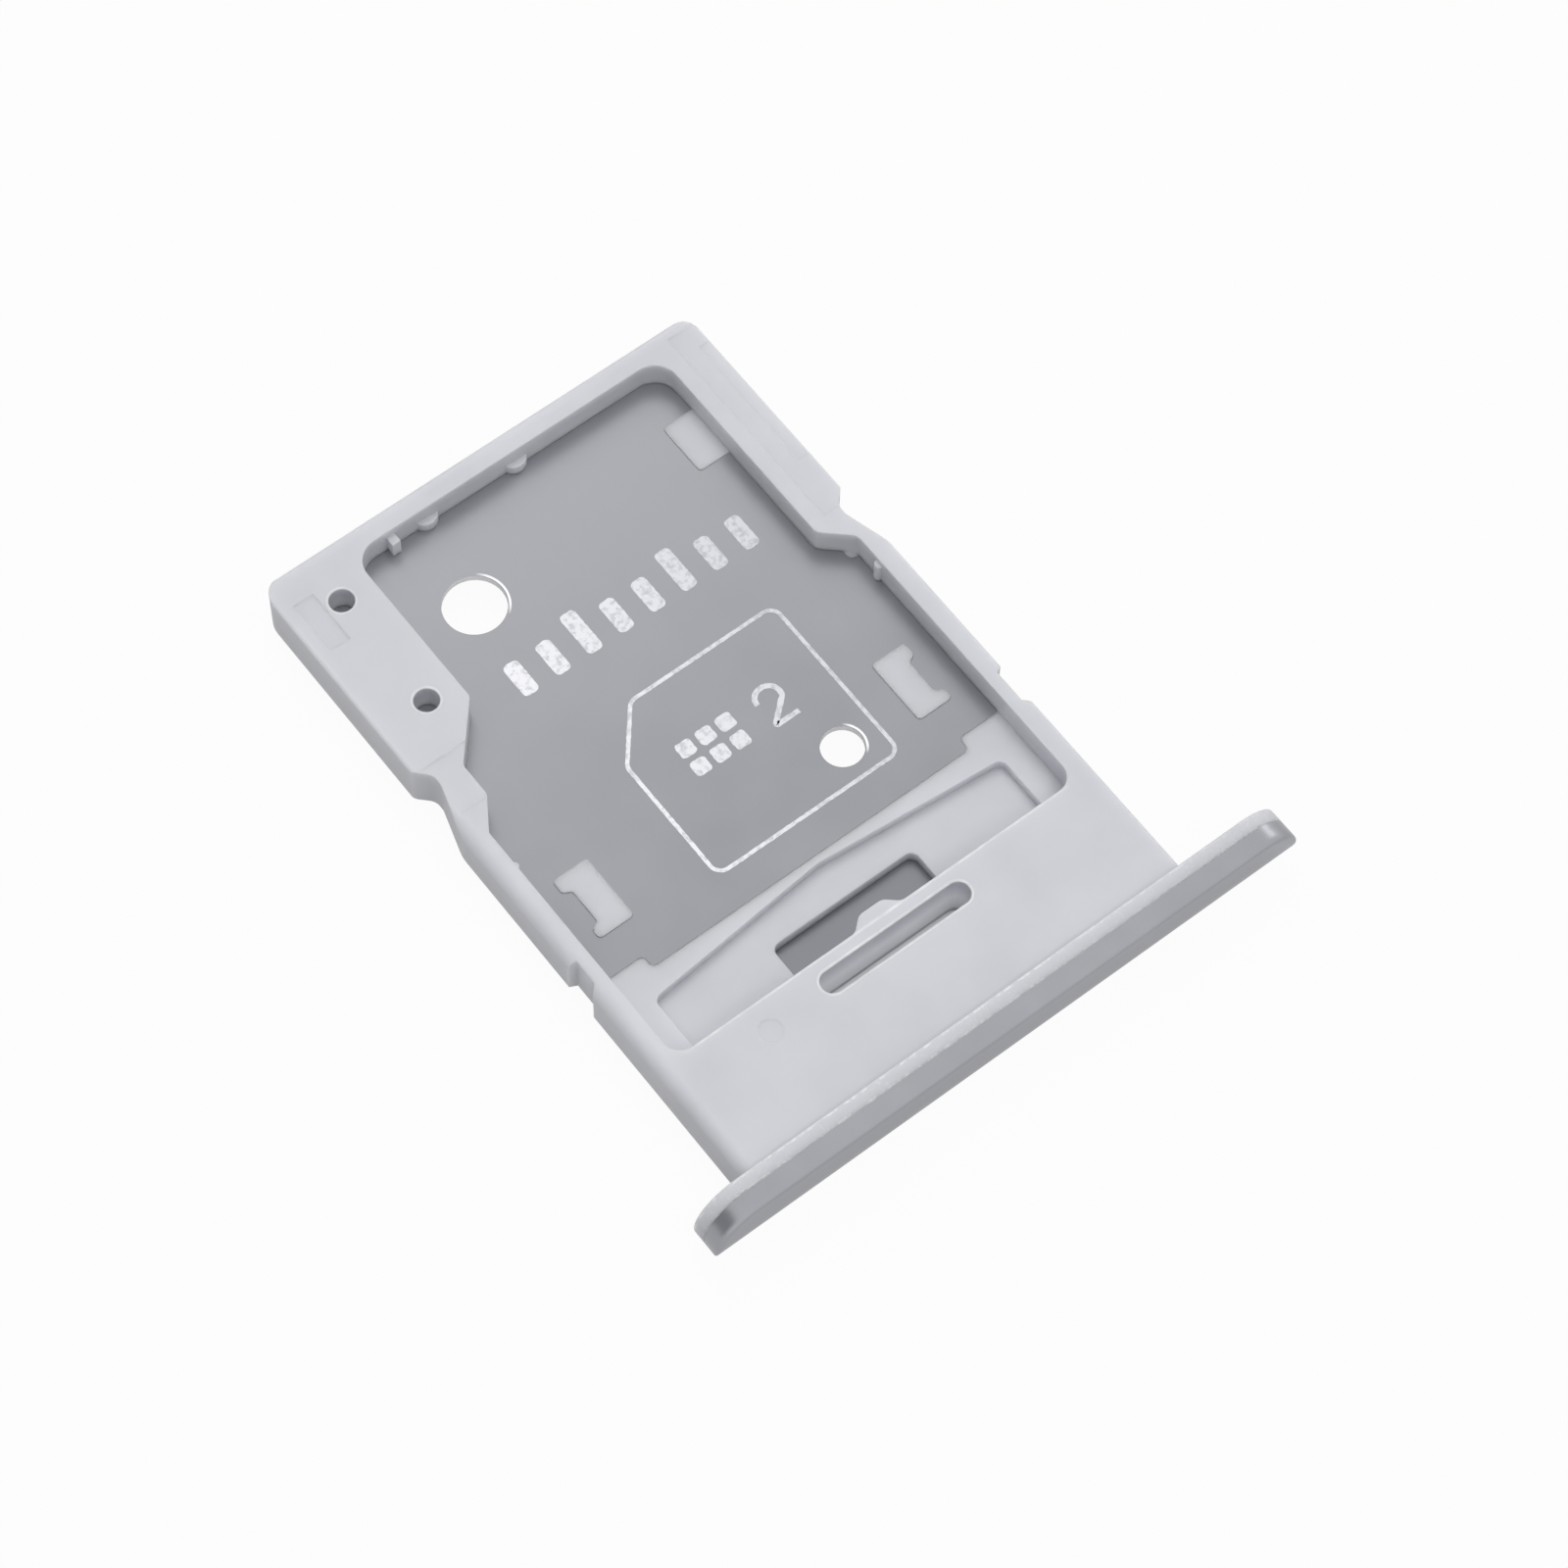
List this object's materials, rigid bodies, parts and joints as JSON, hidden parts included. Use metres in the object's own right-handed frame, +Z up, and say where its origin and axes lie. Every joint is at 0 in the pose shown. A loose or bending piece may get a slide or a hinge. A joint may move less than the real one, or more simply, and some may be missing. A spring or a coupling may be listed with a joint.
{
  "type": "sim card tray",
  "caption": "Flat two-sided card tray for a phone: a moulded frame with open card pockets over and under a thin steel floor, closed at one end by a rounded metal-capped bezel.",
  "frame": {"origin": "on the tray's centre line, halfway through the body's thickness, at the bezel's rear face: the plane that stops against the phone's side", "axes": "X across the tray, +Y from the bezel into the phone, +Z up through the memory-card side"},
  "size_m": [0.0181, 0.021, 0.0023],
  "materials": {
    "frame_plastic": "fine moulded satin",
    "floor_steel": "rolled matt sheet with laser-etched marks",
    "cap_metal": "fine satin, anodised silver"
  },
  "bodies": {
    "root": {"tray_frame": "frame_plastic", "floor_plate": "floor_steel", "end_cap": "cap_metal"}
  },
  "joints": []
}
